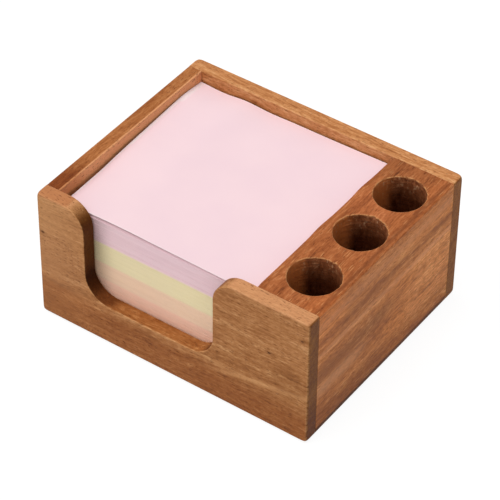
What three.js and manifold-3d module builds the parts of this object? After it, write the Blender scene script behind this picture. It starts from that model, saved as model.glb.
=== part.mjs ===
// A wooden holder for a stack of square sticky notes, with three pen bores beside the notes.
// Millimetres. +X runs right along the front board, +Y runs back and +Z up. The origin is at the
// centre of the footprint, on the surface that the feet stand on.
import * as THREE from "three";
import { mergeVertices } from "three/addons/utils/BufferGeometryUtils.js";
import Module from "manifold-3d";

const wasm = await Module();
wasm.setup();

// Notes: one leaf, the leaves in each pad, and the room that the pocket leaves round them
const noteSize = 76.2;
const leafThickness = 0.1;
const blueLeafCount = 83;
const coralLeafCount = 76;
const peachLeafCount = 68;
const yellowLeafCount = 84;
const pinkLeafCount = 100;
const looseLeafCount = 1;
const backingCardThickness = 0.5;
const noteSideGap = 0.85;
const noteEndGap = 0.5;

// Wooden case
const boardThickness = 5.4;
const rimAboveNotes = 4.7;
const penBlockWidth = 23.2;
const edgeRadius = 0.8;
const cornerRadius = 1.2;

// Thumb notch in the front board, its straight sides set in from the sides of the pocket
const notchSideInset = 13.45;
const notchFloorHeight = 15.6;
const notchCornerRadius = 9.4;
const notchShoulderRadius = 8.8;

// Pen bores: blind, drilled down into the pen block
const penBoreDiameter = 17.5;
const penBoreFloorHeight = 10.8;
const penBoreRimChamfer = 0.4;
const penBorePlaceShares = [0.183, 0.514, 0.813];

// Base board, let up into a rebate round the pocket
const baseThickness = 4.4;
const rebateDepth = 2.2;
const baseEdgeGap = 0.15;

// Dowels of the corner joints
const dowelDiameter = 3;
const dowelDepthInBoard = 3.2;
const dowelDepthInRail = 6;
const dowelChamfer = 0.4;
const dowelGap = 0.15;
const dowelEdgeDistance = 4.3;
const dowelRowShares = [0.25, 0.76];

// Anti-slip feet
const footDiameter = 8;
const footThickness = 1;
const footRounding = 0.4;
const footCentreInset = 10;

// Fineness of the curves, and working lengths of the cutters
const arcSegments = 8;
const edgeSegments = 2;
const boreSides = 32;
const dowelSides = 12;
const footSides = 24;
const cutterOverrun = 2;
const weldDistance = 0.001;

// Outside sizes: the case is built round the notes
const padLeafCounts = [blueLeafCount, coralLeafCount, peachLeafCount, yellowLeafCount, pinkLeafCount];
const leafCount = padLeafCounts.reduce((sum, count) => sum + count, looseLeafCount);
const stackHeight = backingCardThickness + leafCount * leafThickness;
const pocketWidth = noteSize + 2 * noteSideGap;
const railLength = noteSize + 2 * noteEndGap;
const caseWidth = boardThickness + pocketWidth + penBlockWidth;
const caseDepth = railLength + 2 * boardThickness;
const caseHeight = baseThickness + stackHeight + rimAboveNotes;

// Places that follow from the sizes above
const leftX = -caseWidth / 2;
const rightX = caseWidth / 2;
const frontY = -caseDepth / 2;
const backY = caseDepth / 2;
const caseBottomZ = footThickness;
const pocketLeftX = leftX + boardThickness;
const pocketRightX = rightX - penBlockWidth;
const pocketFrontY = frontY + boardThickness;
const pocketBackY = backY - boardThickness;
const pocketCentreX = (pocketLeftX + pocketRightX) / 2;
const pocketCentreY = (pocketFrontY + pocketBackY) / 2;
const penBlockCentreX = rightX - penBlockWidth / 2;
const leftBoardCentreX = leftX + boardThickness / 2;

function wood(colour) {
  return new THREE.MeshStandardMaterial({ color: colour, roughness: 0.55, metalness: 0 });
}

function paper(colour) {
  return new THREE.MeshStandardMaterial({ color: colour, roughness: 0.9, metalness: 0 });
}

const materials = {
  frontBoard: wood(0xa87549),
  backBoard: wood(0xb57d4e),
  leftBoard: wood(0xa26a40),
  penBlock: wood(0xa3623b),
  baseBoard: wood(0xab7a4e),
  dowel: wood(0xd9b98c),
  foot: new THREE.MeshStandardMaterial({ color: 0x3a3735, roughness: 0.8, metalness: 0 }),
  card: paper(0xb9b2a6),
  blue: paper(0xc4dcee),
  coral: paper(0xf7b9ae),
  peach: paper(0xfbd2b0),
  yellow: paper(0xf7efb6),
  pink: paper(0xf8dbe1),
};

// Solids: a closed geometry becomes a solid to cut, and the result becomes a geometry again
function toSolid(geometry) {
  const bare = geometry.clone();
  bare.deleteAttribute("normal");
  bare.deleteAttribute("uv");
  const merged = mergeVertices(bare, weldDistance);
  const mesh = new wasm.Mesh({
    numProp: 3,
    vertProperties: new Float32Array(merged.attributes.position.array),
    triVerts: new Uint32Array(merged.index.array),
  });
  return new wasm.Manifold(mesh);
}

function toGeometry(solid) {
  const mesh = solid.getMesh();
  const geometry = new THREE.BufferGeometry();
  geometry.setAttribute("position", new THREE.BufferAttribute(mesh.vertProperties, 3));
  geometry.setIndex(new THREE.BufferAttribute(mesh.triVerts, 1));
  geometry.computeVertexNormals();
  return geometry;
}

function cut(geometry, cutters) {
  let solid = toSolid(geometry);
  for (const cutter of cutters) {
    solid = solid.subtract(toSolid(cutter));
  }
  return toGeometry(solid);
}

function addPiece(group, name, geometry, material) {
  const mesh = new THREE.Mesh(geometry, material);
  mesh.name = name;
  group.add(mesh);
  return mesh;
}

// Outlines, drawn with x to the right and y up from the underside of the case
function roundedOutline(x0, x1, height, radius) {
  const outline = new THREE.Shape();
  outline.absarc(x1 - radius, radius, radius, -Math.PI / 2, 0, false);
  outline.absarc(x1 - radius, height - radius, radius, 0, Math.PI / 2, false);
  outline.absarc(x0 + radius, height - radius, radius, Math.PI / 2, Math.PI, false);
  outline.absarc(x0 + radius, radius, radius, Math.PI, 1.5 * Math.PI, false);
  return outline;
}

function notchedOutline() {
  const notchLeft = pocketLeftX + notchSideInset;
  const notchRight = pocketRightX - notchSideInset;
  const top = caseHeight;
  const shoulder = notchShoulderRadius;
  const corner = notchCornerRadius;
  const outline = new THREE.Shape();
  outline.absarc(rightX - cornerRadius, cornerRadius, cornerRadius, -Math.PI / 2, 0, false);
  outline.absarc(rightX - cornerRadius, top - cornerRadius, cornerRadius, 0, Math.PI / 2, false);
  outline.absarc(notchRight + shoulder, top - shoulder, shoulder, Math.PI / 2, Math.PI, false);
  outline.absarc(notchRight - corner, notchFloorHeight + corner, corner, 0, -Math.PI / 2, true);
  outline.absarc(notchLeft + corner, notchFloorHeight + corner, corner, -Math.PI / 2, -Math.PI, true);
  outline.absarc(notchLeft - shoulder, top - shoulder, shoulder, 0, Math.PI / 2, false);
  outline.absarc(leftX + cornerRadius, top - cornerRadius, cornerRadius, Math.PI / 2, Math.PI, false);
  outline.absarc(leftX + cornerRadius, cornerRadius, cornerRadius, Math.PI, 1.5 * Math.PI, false);
  return outline;
}

// A board that lies in the XZ plane from startY to endY, with its edges rounded on both faces
function crossBoard(outline, startY, endY) {
  const geometry = new THREE.ExtrudeGeometry(outline, {
    depth: endY - startY - 2 * edgeRadius,
    bevelEnabled: true,
    bevelSize: edgeRadius,
    bevelOffset: -edgeRadius,
    bevelThickness: edgeRadius,
    bevelSegments: edgeSegments,
    curveSegments: arcSegments,
  });
  geometry.rotateX(Math.PI / 2);
  geometry.translate(0, endY - edgeRadius, caseBottomZ);
  return geometry;
}

// A piece that fills the length between the front and back boards, with square ends
function railBetweenBoards(outline) {
  const geometry = new THREE.ExtrudeGeometry(outline, {
    depth: railLength,
    bevelEnabled: false,
    curveSegments: arcSegments,
  });
  geometry.rotateX(Math.PI / 2);
  geometry.translate(0, pocketBackY, caseBottomZ);
  return geometry;
}

// Rebate for the base board: one cutter for all four pieces that stand round the pocket
function basePlate(edgeGap, overrunBelow) {
  const reach = rebateDepth - edgeGap;
  const width = pocketWidth + 2 * reach;
  const length = railLength + 2 * reach;
  const plate = new THREE.BoxGeometry(width, length, baseThickness + overrunBelow);
  plate.translate(pocketCentreX, pocketCentreY, caseBottomZ + (baseThickness - overrunBelow) / 2);
  return plate;
}

// Dowels: where each one crosses a joint between a cross board and a rail
function dowelJoints() {
  const columns = {
    left_board: [leftBoardCentreX],
    pen_block: [rightX - penBlockWidth + dowelEdgeDistance, rightX - dowelEdgeDistance],
  };
  const joints = [];
  for (const end of ["front", "back"]) {
    for (const rail of ["left_board", "pen_block"]) {
      for (const x of columns[rail]) {
        for (const share of dowelRowShares) {
          joints.push({ end, rail, x, z: caseBottomZ + share * caseHeight });
        }
      }
    }
  }
  return joints;
}

// A rod along Y through a joint face, its ends drawn in by endGap and its side by sideGap
function rodAt(joint, sideGap, endGap, chamfer) {
  const radius = dowelDiameter / 2 + sideGap;
  const inBoard = dowelDepthInBoard + endGap;
  const inRail = dowelDepthInRail + endGap;
  const length = inBoard + inRail;
  const profile = [
    new THREE.Vector2(0, -length / 2),
    new THREE.Vector2(radius - chamfer, -length / 2),
    new THREE.Vector2(radius, -length / 2 + chamfer),
    new THREE.Vector2(radius, length / 2 - chamfer),
    new THREE.Vector2(radius - chamfer, length / 2),
    new THREE.Vector2(0, length / 2),
  ];
  const rod = new THREE.LatheGeometry(profile, dowelSides);
  const towardsRail = (inRail - inBoard) / 2;
  const y = joint.end === "front" ? pocketFrontY + towardsRail : pocketBackY - towardsRail;
  rod.translate(joint.x, y, joint.z);
  return rod;
}

function dowelSockets(joints) {
  return joints.map((joint) => rodAt(joint, dowelGap, dowelGap, dowelChamfer));
}

// One pen bore with its chamfered rim, as the shape of the drill that makes it
function penBore(placeShare) {
  const radius = penBoreDiameter / 2;
  const top = caseBottomZ + caseHeight;
  const floor = caseBottomZ + penBoreFloorHeight;
  const profile = [
    new THREE.Vector2(0, floor),
    new THREE.Vector2(radius, floor),
    new THREE.Vector2(radius, top - penBoreRimChamfer),
    new THREE.Vector2(radius + penBoreRimChamfer + cutterOverrun, top + cutterOverrun),
    new THREE.Vector2(0, top + cutterOverrun),
  ];
  const bore = new THREE.LatheGeometry(profile, boreSides);
  bore.rotateX(Math.PI / 2);
  bore.translate(penBlockCentreX, pocketFrontY + placeShare * railLength, 0);
  return bore;
}

function buildCase() {
  const group = new THREE.Group();
  const joints = dowelJoints();
  const rebate = basePlate(0, cutterOverrun);
  const boards = [
    ["front_board", "front", notchedOutline(), frontY, pocketFrontY, materials.frontBoard],
    ["back_board", "back", roundedOutline(leftX, rightX, caseHeight, cornerRadius),
      pocketBackY, backY, materials.backBoard],
  ];
  for (const [name, end, outline, startY, endY, material] of boards) {
    const sockets = dowelSockets(joints.filter((joint) => joint.end === end));
    addPiece(group, name, cut(crossBoard(outline, startY, endY), [rebate, ...sockets]), material);
  }
  const rails = [
    ["left_board", leftX, pocketLeftX, [], materials.leftBoard],
    ["pen_block", pocketRightX, rightX, penBorePlaceShares.map(penBore), materials.penBlock],
  ];
  for (const [name, x0, x1, bores, material] of rails) {
    const outline = roundedOutline(x0, x1, caseHeight, edgeRadius);
    const sockets = dowelSockets(joints.filter((joint) => joint.rail === name));
    addPiece(group, name, cut(railBetweenBoards(outline), [rebate, ...bores, ...sockets]), material);
  }
  addPiece(group, "base_board", basePlate(baseEdgeGap, 0), materials.baseBoard);
  const counts = {};
  for (const joint of joints) {
    const place = `${joint.end}_${joint.rail}`;
    counts[place] = (counts[place] ?? 0) + 1;
    const dowel = rodAt(joint, 0, 0, dowelChamfer);
    addPiece(group, `dowel_${place}_${counts[place]}`, dowel, materials.dowel);
  }
  return group;
}

function buildFeet() {
  const group = new THREE.Group();
  const radius = footDiameter / 2;
  const profile = [
    new THREE.Vector2(0, 0),
    new THREE.Vector2(radius - footRounding, 0),
    new THREE.Vector2(radius, footRounding),
    new THREE.Vector2(radius, footThickness),
    new THREE.Vector2(0, footThickness),
  ];
  const columns = { left: leftX + footCentreInset, right: rightX - footCentreInset };
  const rows = { front: frontY + footCentreInset, back: backY - footCentreInset };
  for (const [rowName, y] of Object.entries(rows)) {
    for (const [columnName, x] of Object.entries(columns)) {
      const geometry = new THREE.LatheGeometry(profile, footSides);
      geometry.rotateX(Math.PI / 2);
      const foot = addPiece(group, `foot_${rowName}_${columnName}`, geometry, materials.foot);
      foot.position.set(x, y, 0);
    }
  }
  return group;
}

// The stack stands on the base board, centred in the pocket, each pad on the one below it
function buildNotes() {
  const group = new THREE.Group();
  const layers = [
    ["backing_card", backingCardThickness, materials.card],
    ["blue_note_pad", blueLeafCount * leafThickness, materials.blue],
    ["coral_note_pad", coralLeafCount * leafThickness, materials.coral],
    ["peach_note_pad", peachLeafCount * leafThickness, materials.peach],
    ["yellow_note_pad", yellowLeafCount * leafThickness, materials.yellow],
    ["pink_note_pad", pinkLeafCount * leafThickness, materials.pink],
    ["top_note", looseLeafCount * leafThickness, materials.pink],
  ];
  let bottom = caseBottomZ + baseThickness;
  for (const [name, thickness, material] of layers) {
    const layer = addPiece(group, name, new THREE.BoxGeometry(noteSize, noteSize, thickness), material);
    layer.position.set(pocketCentreX, pocketCentreY, bottom + thickness / 2);
    bottom += thickness;
  }
  return group;
}

const dispenser = new THREE.Group();
dispenser.add(buildCase());
dispenser.add(buildFeet());
dispenser.add(buildNotes());

export default dispenser;
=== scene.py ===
# %% [markdown]
# # A wooden sticky note holder, piece by piece
# This lesson dresses a small desk object: an acacia case with a thumb notch, three bored holes for pens and
# a stack of coloured notes. The measured model comes in as a fixed frame, and every piece made here takes
# its place from it. Blender works in metres, so sizes are written in millimetres and turned by one factor.

# %% The fixed frame and its measured box
import math
import random

import bmesh
import bpy
from mathutils import Matrix, Vector, noise
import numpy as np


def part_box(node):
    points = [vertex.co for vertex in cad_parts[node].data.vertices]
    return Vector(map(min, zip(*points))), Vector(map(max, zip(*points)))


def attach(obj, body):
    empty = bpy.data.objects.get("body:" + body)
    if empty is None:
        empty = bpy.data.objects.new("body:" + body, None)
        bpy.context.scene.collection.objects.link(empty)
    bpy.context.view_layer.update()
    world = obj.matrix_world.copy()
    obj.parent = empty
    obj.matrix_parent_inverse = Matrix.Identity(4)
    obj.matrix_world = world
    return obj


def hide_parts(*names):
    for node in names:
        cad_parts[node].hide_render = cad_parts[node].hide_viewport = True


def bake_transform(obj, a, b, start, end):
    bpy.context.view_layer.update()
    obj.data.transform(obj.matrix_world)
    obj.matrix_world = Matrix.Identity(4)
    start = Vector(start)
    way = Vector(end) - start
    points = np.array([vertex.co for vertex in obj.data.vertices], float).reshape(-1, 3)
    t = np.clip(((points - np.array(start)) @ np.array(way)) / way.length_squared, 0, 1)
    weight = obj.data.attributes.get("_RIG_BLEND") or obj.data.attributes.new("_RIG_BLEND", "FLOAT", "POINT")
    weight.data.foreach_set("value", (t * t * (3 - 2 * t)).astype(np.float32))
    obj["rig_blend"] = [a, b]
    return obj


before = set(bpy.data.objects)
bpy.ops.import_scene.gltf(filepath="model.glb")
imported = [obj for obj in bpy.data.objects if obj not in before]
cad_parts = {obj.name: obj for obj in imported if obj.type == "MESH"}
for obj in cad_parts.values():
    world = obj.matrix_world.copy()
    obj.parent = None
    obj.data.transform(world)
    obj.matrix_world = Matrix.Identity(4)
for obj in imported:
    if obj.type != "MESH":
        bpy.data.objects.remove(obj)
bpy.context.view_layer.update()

MM = 0.001


def box_mm(node):
    """Lowest and highest corner of a node, in millimetres."""
    low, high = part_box(node)
    return Vector(low) / MM, Vector(high) / MM


def nodes_called(start):
    """The names of the nodes that start with these letters, in order."""
    return [name for name in sorted(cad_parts) if name.startswith(start)]


def placed(name, data):
    """A new object with this data, in the scene."""
    made = bpy.data.objects.new(name, data)
    bpy.context.scene.collection.objects.link(made)
    return made


front_low, front_high = box_mm("front_board")
back_low, back_high = box_mm("back_board")
left_low, left_high = box_mm("left_board")
block_low, block_high = box_mm("pen_block")
base_low, base_high = box_mm("base_board")
WOOD_BOTTOM, WOOD_TOP = front_low.z, front_high.z
print("wood from", round(WOOD_BOTTOM, 2), "to", round(WOOD_TOP, 2), "mm above the desk")

# %% [markdown]
# ## Camera, floor and light
# The photograph looks down at the holder from the front right with a long lens, which keeps parallel edges
# nearly parallel. The camera could be placed by eye, but its height, turn and lens can be worked out from
# the corners of the box.

# %% The camera
CAMERA_PLACE = Vector((367.445, -525.687, 593.649)) * MM
CAMERA_AZIMUTH, CAMERA_ELEVATION, CAMERA_ROLL = 34.95, 41.647, 0.681
CAMERA_LENS, SENSOR_WIDTH = 187.4, 36
CLIP_START, CLIP_END = 0.01, 20


def aim(azimuth, elevation, roll):
    """Rotation of a camera that looks from the front, turned by azimuth and tilted down by elevation."""
    a, e, r = (math.radians(v) for v in (azimuth, elevation, roll))
    look = Vector((-math.sin(a) * math.cos(e), math.cos(a) * math.cos(e), -math.sin(e)))
    right = Vector((math.cos(a), math.sin(a), 0))
    up = right.cross(look)
    turned_right = right * math.cos(r) + up * math.sin(r)
    turned_up = up * math.cos(r) - right * math.sin(r)
    return Matrix((turned_right, turned_up, -look)).transposed()


camera_data = bpy.data.cameras.new("camera")
camera_data.lens = CAMERA_LENS
camera_data.sensor_width = SENSOR_WIDTH
camera_data.clip_start, camera_data.clip_end = CLIP_START, CLIP_END
camera = placed("camera", camera_data)
turned_to = aim(CAMERA_AZIMUTH, CAMERA_ELEVATION, CAMERA_ROLL).to_4x4()
camera.matrix_world = Matrix.Translation(CAMERA_PLACE) @ turned_to
bpy.context.scene.camera = camera
print("camera", round(camera.location.length / MM), "mm from the middle of the footprint")

# %% [markdown]
# A node tree is a list of small machines and wires. Writing it out line by line gets long, so one helper
# adds a node, sets its values and plugs in what feeds it. The others each make one kind of node with it.


# %% A short way to write node trees
def add(tree, kind, inputs=None, **settings):
    """Adds a node to a tree. A value in inputs that is a socket is linked, any other is set."""
    made = tree.nodes.new(kind)
    for key, value in settings.items():
        setattr(made, key, value)
    for key, value in (inputs or {}).items():
        if isinstance(value, bpy.types.NodeSocket):
            tree.links.new(value, made.inputs[key])
        else:
            made.inputs[key].default_value = value
    return made


def sum_up(tree, operation, *values):
    """One maths node. Returns its output socket."""
    return add(tree, "ShaderNodeMath", dict(enumerate(values)), operation=operation).outputs[0]


def vector(tree, operation, *values):
    """One vector maths node. Returns a number for a length, a distance or a dot product, else a vector."""
    made = add(tree, "ShaderNodeVectorMath", dict(enumerate(values)), operation=operation)
    return made.outputs["Value" if operation in ("LENGTH", "DISTANCE", "DOT_PRODUCT") else "Vector"]


def part_of(tree, value, axis):
    """One coordinate of a vector."""
    return add(tree, "ShaderNodeSeparateXYZ", {0: value}).outputs[axis]


def fade(tree, value, start, end, low=0.0, high=1.0):
    """A soft step: low where value is at start, high where it is at end."""
    inputs = {"Value": value, "From Min": start, "From Max": end, "To Min": low, "To Max": high}
    return add(tree, "ShaderNodeMapRange", inputs, interpolation_type="SMOOTHSTEP").outputs[0]


def seen_rays(tree):
    """1 for rays that the camera sends out, also by way of a shiny or clear surface, and 0 for the rest."""
    rays = add(tree, "ShaderNodeLightPath").outputs
    seen = sum_up(tree, "MAXIMUM", rays["Is Camera Ray"], rays["Is Glossy Ray"])
    return sum_up(tree, "MAXIMUM", seen, rays["Is Transmission Ray"])


def blank_material(name):
    """A new material and its empty node tree."""
    material = bpy.data.materials.new(name)
    material.use_nodes = True
    material.node_tree.nodes.clear()
    return material, material.node_tree


# %% [markdown]
# The floor of a product photograph is white paper. To a camera ray most of the floor glows a little over
# strength 1, which is white, and the rest of it is a plain matt floor, so a faint shadow stays. To the rays
# that carry light it is a pale matt floor that throws light up on the wood.

# %% The floor
WHITE = (1, 1, 1, 1)
FLOOR_COLOUR = (0.86, 0.855, 0.85, 1)
FLOOR_GLOW, GLOW_SHARE = 1.09, 0.84
FLOOR_REACH = 4.0
floor_material, tree = blank_material("white_paper_floor")
matt = add(tree, "ShaderNodeBsdfDiffuse", {"Color": FLOOR_COLOUR}).outputs[0]
glow = add(tree, "ShaderNodeEmission", {"Color": WHITE, "Strength": FLOOR_GLOW}).outputs[0]
share = sum_up(tree, "MULTIPLY", seen_rays(tree), GLOW_SHARE)
mixed = add(tree, "ShaderNodeMixShader", {0: share, 1: matt, 2: glow}).outputs[0]
add(tree, "ShaderNodeOutputMaterial", {"Surface": mixed})

floor_mesh = bpy.data.meshes.new("floor")
floor_corners = [(x * FLOOR_REACH, y * FLOOR_REACH, 0) for x, y in ((-1, -1), (1, -1), (1, 1), (-1, 1))]
floor_mesh.from_pydata(floor_corners, [], [(0, 1, 2, 3)])
floor_mesh.materials.append(floor_material)
floor = placed("floor", floor_mesh)
print("floor", 2 * FLOOR_REACH, "m square")

# %% [markdown]
# The light in the photograph is one large soft source high up and a little to the front left: the tops are
# bright, the front has about two thirds of that, the right side a little less, and the notch's left cheek
# is in shade. A sun lamp with a wide angle gives that softness at any size, and the world fills the rest.

# %% The light
ROOM_LIGHT, BACKGROUND_LIGHT = 0.43, 1.0
SUN_FROM = Vector((-0.22, -0.28, 0.93))
SUN_STRENGTH, SUN_SPREAD = 1.98, 50
world = bpy.data.worlds.new("studio")
bpy.context.scene.world = world
world.use_nodes = True
tree = world.node_tree
tree.nodes.clear()
room = add(tree, "ShaderNodeBackground", {"Color": WHITE, "Strength": ROOM_LIGHT}).outputs[0]
white = add(tree, "ShaderNodeBackground", {"Color": WHITE, "Strength": BACKGROUND_LIGHT}).outputs[0]
mixed = add(tree, "ShaderNodeMixShader", {0: seen_rays(tree), 1: room, 2: white}).outputs[0]
add(tree, "ShaderNodeOutputWorld", {"Surface": mixed})

sun_data = bpy.data.lights.new("overhead", "SUN")
sun_data.energy = SUN_STRENGTH
sun_data.angle = math.radians(SUN_SPREAD)
sun = placed("overhead", sun_data)
sun.rotation_mode = "QUATERNION"
sun.rotation_quaternion = SUN_FROM.to_track_quat("Z", "Y")
bpy.context.scene.view_settings.view_transform = "Standard"
print("sun", sun_data.energy, "from", tuple(SUN_FROM))

# %% [markdown]
# ## The acacia
# Oiled acacia runs from honey to red brown. Wood is a solid with growth rings in it, so its figure is
# painted in space, not on a surface: rings round a far-off heart give the long streaks, stretched noise
# gives the fibre, and short thin cells give the dark pores. Where a board ends across the grain, the same
# pattern shows as arcs and dots, as it does in a sawn board. Image textures would need a picture for each
# face.


# %% Colours and noise
def shade(red, green, blue):
    """A colour picked on screen, 0 to 255, as the linear colour that the nodes work in."""
    linear = [((c / 255 + 0.055) / 1.055) ** 2.4 if c > 10 else c / 255 / 12.92 for c in (red, green, blue)]
    return (*linear, 1)


def ramp(tree, factor, stops):
    """A colour ramp with stops of (place, colour)."""
    made = add(tree, "ShaderNodeValToRGB", {"Fac": factor})
    points = made.color_ramp.elements
    while len(points) < len(stops):
        points.new(0.5)
    for point, (place, colour) in zip(points, stops):
        point.position = place
        point.color = colour
    return made.outputs["Color"]


def tint(tree, factor, colour, other, mode="MIX"):
    """Mixes two colours by a factor."""
    made = add(tree, "ShaderNodeMix", data_type="RGBA", blend_type=mode, clamp_factor=True)
    for socket, value in ((made.inputs[0], factor), (made.inputs[6], colour), (made.inputs[7], other)):
        if isinstance(value, bpy.types.NodeSocket):
            tree.links.new(value, socket)
        else:
            socket.default_value = value
    return made.outputs[2]


def noise_of(tree, place, scale, detail=2.0, roughness=0.5, stretch=(1, 1, 1)):
    """Noise over a place that is first stretched. Returns the value from 0 to 1."""
    spread = vector(tree, "MULTIPLY", place, stretch)
    inputs = {"Vector": spread, "Scale": scale, "Detail": detail, "Roughness": roughness}
    return add(tree, "ShaderNodeTexNoise", inputs, noise_dimensions="3D").outputs[0]


def in_millimetres(tree):
    """Where a point lies on its object, in millimetres, and the direction that it faces."""
    place = add(tree, "ShaderNodeTexCoord").outputs
    scaled = add(tree, "ShaderNodeMapping", {"Vector": place["Object"], "Scale": (1 / MM,) * 3})
    return scaled.outputs[0], place["Normal"]


def surfaced(material, colour, gloss, height, relief, shine=0.5):
    """Ends a material: colour, roughness, a low relief given as its strength and depth in mm, and shine."""
    tree = material.node_tree
    strength, depth = relief
    normal = add(tree, "ShaderNodeBump", {"Strength": strength, "Distance": depth * MM, "Height": height})
    inputs = {"Base Color": colour, "Roughness": gloss, "Specular IOR Level": shine}
    surface = add(tree, "ShaderNodeBsdfPrincipled", {**inputs, "Normal": normal.outputs[0]}).outputs[0]
    add(tree, "ShaderNodeOutputMaterial", {"Surface": surface})
    return material


# %% Steps that the wood material is made of
def grain_space(tree, in_mm, grain, start, lean):
    """Turns a board's millimetres into the trunk's: the first axis runs along the fibres, which wander."""
    turn = [math.radians(v) for v in lean]
    if grain == "Y":
        turn[2] += math.radians(-90)
    wood = add(tree, "ShaderNodeMapping", {"Vector": in_mm, "Location": start, "Rotation": turn}).outputs[0]
    slow = vector(tree, "MULTIPLY", wood, (0.035, 0.09, 0.09))
    drift = add(tree, "ShaderNodeTexNoise", {"Vector": slow, "Scale": 1.0, "Detail": 3.0}).outputs["Color"]
    drift = vector(tree, "SUBTRACT", drift, (0.5, 0.5, 0.5))
    return vector(tree, "ADD", wood, vector(tree, "MULTIPLY", drift, (0, 5.0, 5.0)))


def ring_tone(tree, wood, heart, ring):
    """Irregular growth rings: noise over the distance from the heart of the trunk."""
    bend = noise_of(tree, wood, 1.0, 2.0, 0.5, (0.012, 0.05, 0.05))
    across = sum_up(tree, "ADD", part_of(tree, wood, "Y"), heart[0])
    upward = sum_up(tree, "ADD", part_of(tree, wood, "Z"), heart[1])
    squares = sum_up(tree, "MULTIPLY_ADD", across, across, sum_up(tree, "MULTIPLY", upward, upward))
    radius = sum_up(tree, "MULTIPLY_ADD", bend, 14.0, sum_up(tree, "SQRT", squares))
    inputs = {"W": radius, "Scale": ring, "Detail": 4.0, "Roughness": 0.6}
    return add(tree, "ShaderNodeTexNoise", inputs, noise_dimensions="1D").outputs[0]


def weigh(tree, parts, middle=0.5):
    """Adds several noises, each with its own weight, round a middle."""
    total = middle
    for value, weight in parts:
        total = sum_up(tree, "MULTIPLY_ADD", sum_up(tree, "SUBTRACT", value, 0.5), weight, total)
    return total


def pores(tree, wood, stretch, size, share):
    """Short thin cells along the grain. share is how many of them are open."""
    cells = vector(tree, "MULTIPLY", wood, stretch)
    cell = add(tree, "ShaderNodeTexVoronoi", {"Vector": cells, "Scale": 1.0}, voronoi_dimensions="3D")
    fill = add(tree, "ShaderNodeSeparateColor", {0: cell.outputs["Color"]}).outputs[0]
    open_ones = fade(tree, fill, 1.0 - share, 1.0 - share * 0.55)
    return sum_up(tree, "MULTIPLY", fade(tree, cell.outputs["Distance"], size, size * 0.35), open_ones)


# %% [markdown]
# Each board also has tones of its own: a redder band, a pale line, a top that has darkened. Each is a soft
# step or a soft line along one direction, made wavy by slow noise, so it follows the wood and not the eye.


# %% Bands, lines and knots
HALO_TONE, CORE_TONE = (0.42, 0.32, 0.28, 1), (0.2, 0.14, 0.1, 1)


def band(tree, colour, in_mm, wood, patch):
    """Applies one local change of tone to a colour. From one place on, a step multiplies it and paint mixes
    into it; a line mixes into it between two places only. A patch may end with a direction and the two
    places along it between which the change fades in."""
    direction, begin, end, wobble, other, strength, kind, *span = patch
    wave = noise_of(tree, wood, 1.0, 4.0, 0.6, (0.035, 0.2, 0.2))
    along = weigh(tree, [(wave, wobble)], vector(tree, "DOT_PRODUCT", in_mm, direction))
    if kind == "line":
        middle = (begin + end) / 2
        off = sum_up(tree, "ABSOLUTE", sum_up(tree, "SUBTRACT", along, middle))
        amount = fade(tree, off, abs(end - begin) / 2, 0.0, 0.0, strength)
    else:
        amount = fade(tree, along, begin, end, 0.0, strength)
    if span:
        way, absent, full = span
        there = fade(tree, vector(tree, "DOT_PRODUCT", in_mm, way), absent, full)
        amount = sum_up(tree, "MULTIPLY", amount, there)
    return tint(tree, amount, colour, (*other[:3], 1), "MULTIPLY" if kind == "step" else "MIX")


def knot(tree, colour, in_mm, centre, size):
    """A tiny pin knot: a dark core in a darker halo, drawn out along the grain."""
    away = vector(tree, "SUBTRACT", in_mm, centre)
    away = vector(tree, "LENGTH", vector(tree, "MULTIPLY", away, (0.6, 0.6, 1)))
    halo = fade(tree, away, size * 2.6, size * 0.8, 0.0, 0.35)
    colour = tint(tree, halo, colour, HALO_TONE, "MULTIPLY")
    core = fade(tree, away, size, size * 0.45, 0.0, 0.8)
    return tint(tree, core, colour, CORE_TONE, "MULTIPLY")


# %% The wood material
PORE_TONE = (0.34, 0.25, 0.2, 1)


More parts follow.
